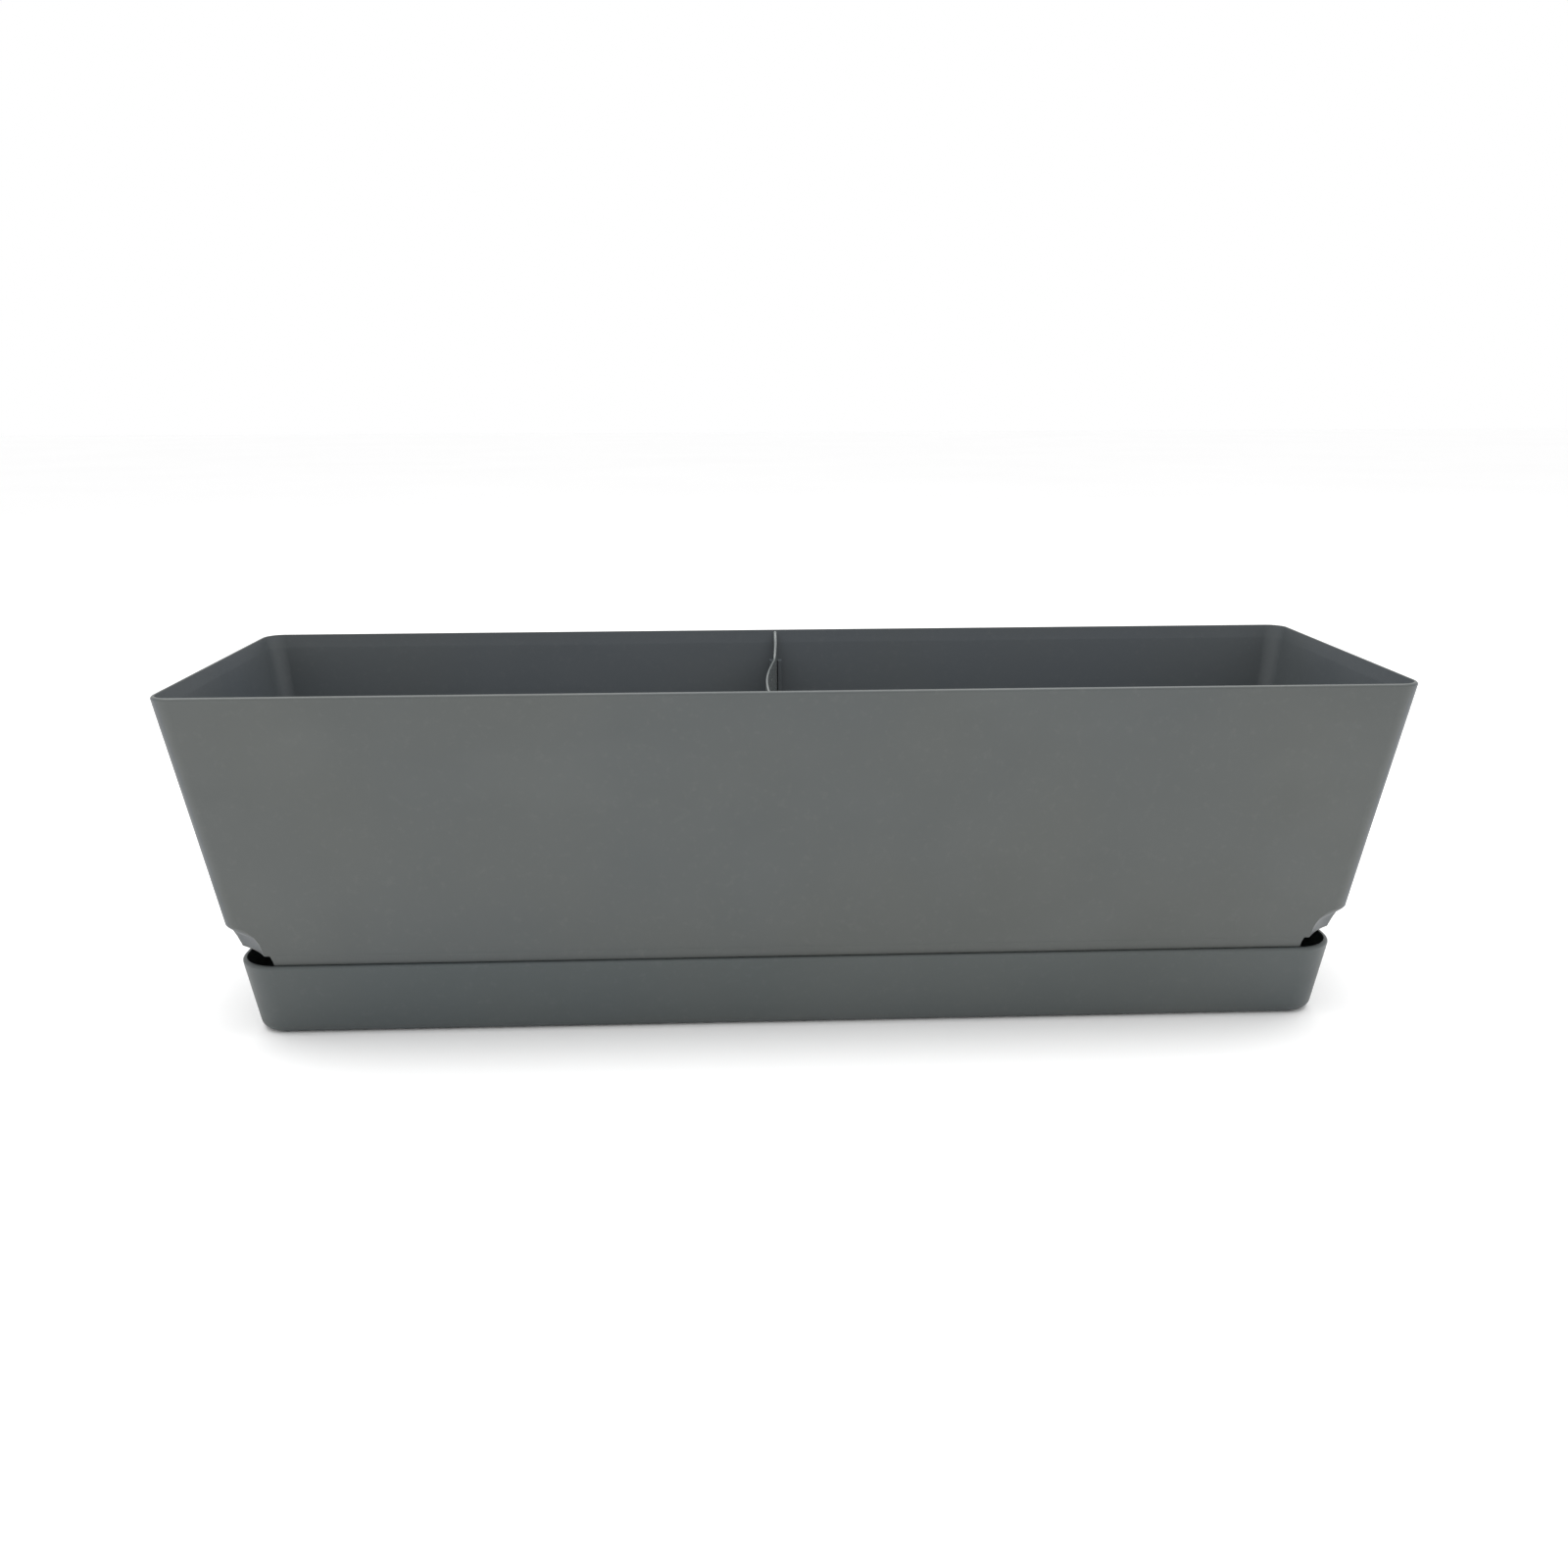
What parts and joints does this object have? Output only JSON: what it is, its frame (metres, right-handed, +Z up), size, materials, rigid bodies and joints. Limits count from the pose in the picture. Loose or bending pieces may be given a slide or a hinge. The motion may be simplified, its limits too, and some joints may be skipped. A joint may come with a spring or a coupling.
{
  "type": "self watering planter",
  "caption": "Long tapered window-box planter that sits in a water reservoir tray, with wicks that lift water to the soil and a cross brace between its long walls.",
  "frame": {"origin": "middle of the tray's underside, on the ground", "axes": "+X along the planter's length, the front faces -Y, +Z up"},
  "size_m": [0.6, 0.178, 0.181],
  "materials": {
    "trough": "satin moulded polypropylene, grey-green anthracite",
    "tray": "satin moulded polypropylene, slightly darker anthracite",
    "brace": "satin moulded polypropylene",
    "basket": "matt black polypropylene",
    "felt": "undyed needled wicking felt"
  },
  "bodies": {
    "tray": {"reservoir_tray": "tray"},
    "trough": {"planter_box": "trough"},
    "brace": {"cross_brace": "brace"},
    "basket_1": {"wick_basket_1": "basket", "wick_strip_1": "felt"},
    "basket_2": {"wick_basket_2": "basket", "wick_strip_2": "felt"},
    "basket_3": {"wick_basket_3": "basket", "wick_strip_3": "felt"},
    "basket_4": {"wick_basket_4": "basket", "wick_strip_4": "felt"}
  },
  "joints": [
    {"name": "trough_lift", "type": "slide", "parent": "tray", "child": "trough", "axis": [0, 0, 1], "range_m": [0, 0.06]},
    {"name": "brace_lift", "type": "slide", "parent": "trough", "child": "brace", "axis": [0, 0, 1], "range_m": [0, 0.07]},
    {"name": "basket_1_lift", "type": "slide", "parent": "trough", "child": "basket_1", "axis": [0, 0, 1], "range_m": [0, 0.19]},
    {"name": "basket_2_lift", "type": "slide", "parent": "trough", "child": "basket_2", "axis": [0, 0, 1], "range_m": [0, 0.19]},
    {"name": "basket_3_lift", "type": "slide", "parent": "trough", "child": "basket_3", "axis": [0, 0, 1], "range_m": [0, 0.19]},
    {"name": "basket_4_lift", "type": "slide", "parent": "trough", "child": "basket_4", "axis": [0, 0, 1], "range_m": [0, 0.19]}
  ]
}
